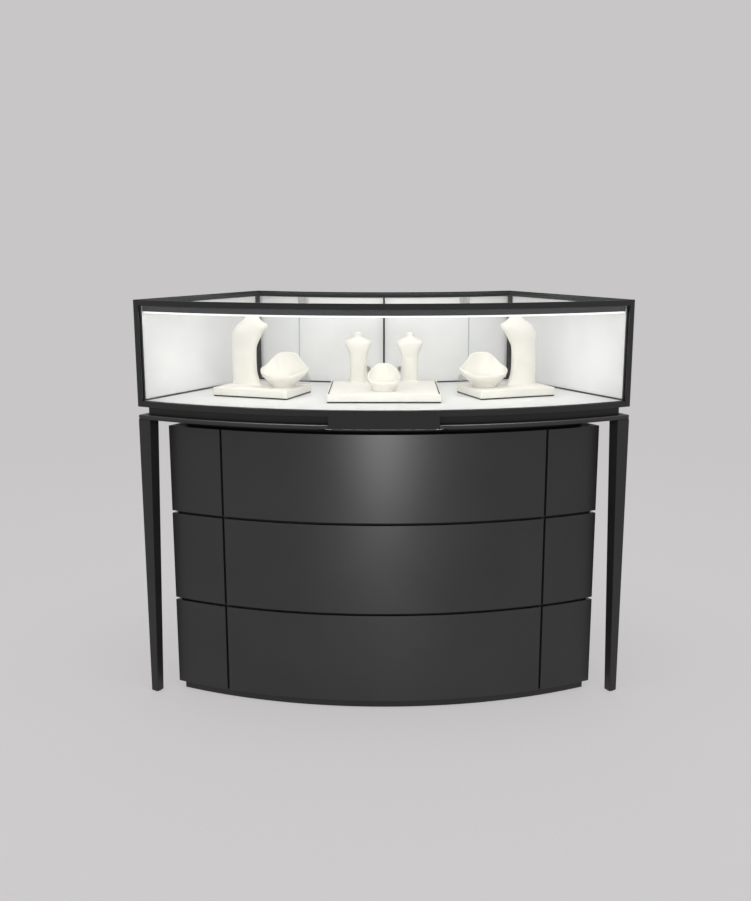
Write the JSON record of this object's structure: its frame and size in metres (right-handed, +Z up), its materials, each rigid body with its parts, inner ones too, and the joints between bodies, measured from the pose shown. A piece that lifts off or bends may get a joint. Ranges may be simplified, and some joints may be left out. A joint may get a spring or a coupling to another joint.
{
  "type": "curved display counter",
  "caption": "Curved lit glass showcase on a dark panelled cabinet with tapered legs, hinged rear glass doors and sliding storage doors.",
  "frame": {"origin": "floor level, middle of the outline of the whole counter", "axes": "+Z up, -Y towards the customer (the bulging front), +X to the right seen from the customer"},
  "size_m": [1.2, 0.5938, 1],
  "materials": {
    "black_metal": "satin powder coat, near black",
    "black_lacquer": "satin black lacquer on board",
    "black_board": "matt black laminate on board",
    "clear_glass": "clear toughened glass, polished edges",
    "white_laminate": "satin white laminate",
    "led_aluminium": "black anodised",
    "track_aluminium": "dark anodised",
    "led_board": "white circuit strip with yellow phosphor dots",
    "led_diffuser": "opal diffuser, lit",
    "brushed_steel": "brushed",
    "black_rubber": "matt",
    "driver_plastic": "moulded",
    "white_leatherette": "fine-grained ivory leatherette over board"
  },
  "bodies": {
    "counter": {"case_top_front_rail": "black_metal", "case_top_rear_rail": "black_metal", "case_top_side_rails": "black_metal", "case_bottom_front_rail": "black_metal", "case_bottom_rear_rail": "black_metal", "case_bottom_side_rails": "black_metal", "case_posts": "black_metal", "base_front_rail": "black_metal", "base_rear_rail": "black_metal", "base_side_rails": "black_metal", "front_legs": "black_metal", "rear_legs": "black_metal", "rear_centre_mullion": "black_metal", "name_plate": "black_metal", "centre_facing_lower": "black_lacquer", "centre_facing_middle": "black_lacquer", "centre_facing_upper": "black_lacquer", "corner_facings_lower": "black_lacquer", "corner_facings_middle": "black_lacquer", "corner_facings_upper": "black_lacquer", "cabinet_bottom_board": "black_board", "cabinet_top_board": "black_board", "cabinet_front_core": "black_board", "cabinet_left_side": "black_board", "cabinet_right_side": "black_board", "cabinet_shelf": "black_board", "cabinet_spacer": "black_board", "plinth_board": "black_board", "neck_board": "black_board", "base_panel": "black_board", "deck_board": "black_board", "front_glass": "clear_glass", "side_glass": "clear_glass", "rear_fixed_glass": "clear_glass", "top_glass": "clear_glass", "deck_lining": "white_laminate", "led_housing": "led_aluminium", "sliding_door_tracks": "track_aluminium", "led_strip": "led_board", "led_diffuser": "led_diffuser", "shelf_pins": "brushed_steel", "leg_glides": "black_rubber", "cable_grommet": "black_rubber", "led_driver": "driver_plastic", "display_trays": "white_leatherette", "neck_busts": "white_leatherette", "side_chain_stands": "white_leatherette", "ring_dishes": "white_leatherette"},
    "left_glass_door": {"left_glass_door": "clear_glass", "left_glass_door_pivots": "brushed_steel", "left_glass_door_knob": "brushed_steel"},
    "right_glass_door": {"right_glass_door": "clear_glass", "right_glass_door_pivots": "brushed_steel", "right_glass_door_knob": "brushed_steel", "glass_door_lock_body": "brushed_steel"},
    "glass_door_lock_cam": {"glass_door_lock_cam": "brushed_steel"},
    "left_sliding_door": {"left_sliding_door": "black_board", "left_sliding_door_pull": "brushed_steel"},
    "right_sliding_door": {"right_sliding_door": "black_board", "right_sliding_door_pull": "brushed_steel"}
  },
  "joints": [
    {"name": "left_glass_door_hinge", "type": "hinge", "parent": "counter", "child": "left_glass_door", "pos_m": [-0.22019, 0.23127, 0.871], "axis": [0, 0, 1], "range_deg": [0, 110]},
    {"name": "right_glass_door_hinge", "type": "hinge", "parent": "counter", "child": "right_glass_door", "pos_m": [0.22019, 0.23127, 0.871], "axis": [0, 0, -1], "range_deg": [0, 110]},
    {"name": "lock_turn", "type": "hinge", "parent": "right_glass_door", "child": "glass_door_lock_cam", "pos_m": [0.01832, 0.20335, 0.772], "axis": [0.0262, -0.9997, 0], "range_deg": [0, 90]},
    {"name": "left_door_slide", "type": "slide", "parent": "counter", "child": "left_sliding_door", "axis": [1, 0, 0], "range_m": [0, 0.3363]},
    {"name": "right_door_slide", "type": "slide", "parent": "counter", "child": "right_sliding_door", "axis": [-1, 0, 0], "range_m": [0, 0.3363]}
  ]
}
